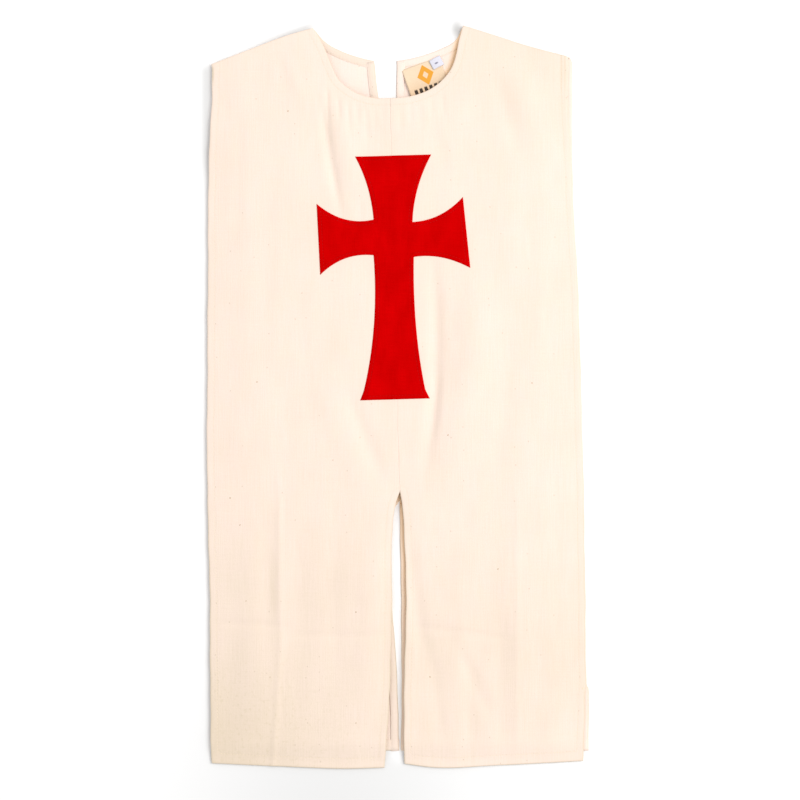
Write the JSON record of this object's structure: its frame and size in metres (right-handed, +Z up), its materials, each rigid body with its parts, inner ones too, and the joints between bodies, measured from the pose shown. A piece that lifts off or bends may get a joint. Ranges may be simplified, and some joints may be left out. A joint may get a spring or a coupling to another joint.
{
  "type": "medieval surcoat",
  "caption": "Child's sleeveless medieval surcoat in undyed calico with a red flared cross on the chest, laid flat and face up, with a round neck and a slit skirt.",
  "frame": {"origin": "bottom centre of the bounding box, on the surface that the garment lies on", "axes": "+Z up from the surface to the front of the garment, +Y from the foot to the neck, +X to the right as seen looking down on the front"},
  "size_m": [0.3827, 0.7444, 0.009],
  "materials": {
    "front_left_cloth": "undyed cream cotton calico, plain weave with small brown seed flecks, matt",
    "front_right_cloth": "undyed cream cotton calico, plain weave with small brown seed flecks, matt",
    "back_left_cloth": "undyed cream cotton calico, plain weave with small brown seed flecks, matt",
    "back_right_cloth": "undyed cream cotton calico, plain weave with small brown seed flecks, matt",
    "cross_cloth": "bright red cotton, edges turned under and topstitched, matt",
    "label_cloth": "cream woven ribbon, slightly smooth",
    "size_tab_cloth": "white woven ribbon, slightly smooth"
  },
  "bodies": {
    "root": {"front_left": "front_left_cloth", "front_right": "front_right_cloth", "back_left": "back_left_cloth", "back_right": "back_right_cloth", "cross": "cross_cloth", "label": "label_cloth", "size_tab": "size_tab_cloth"}
  },
  "joints": []
}
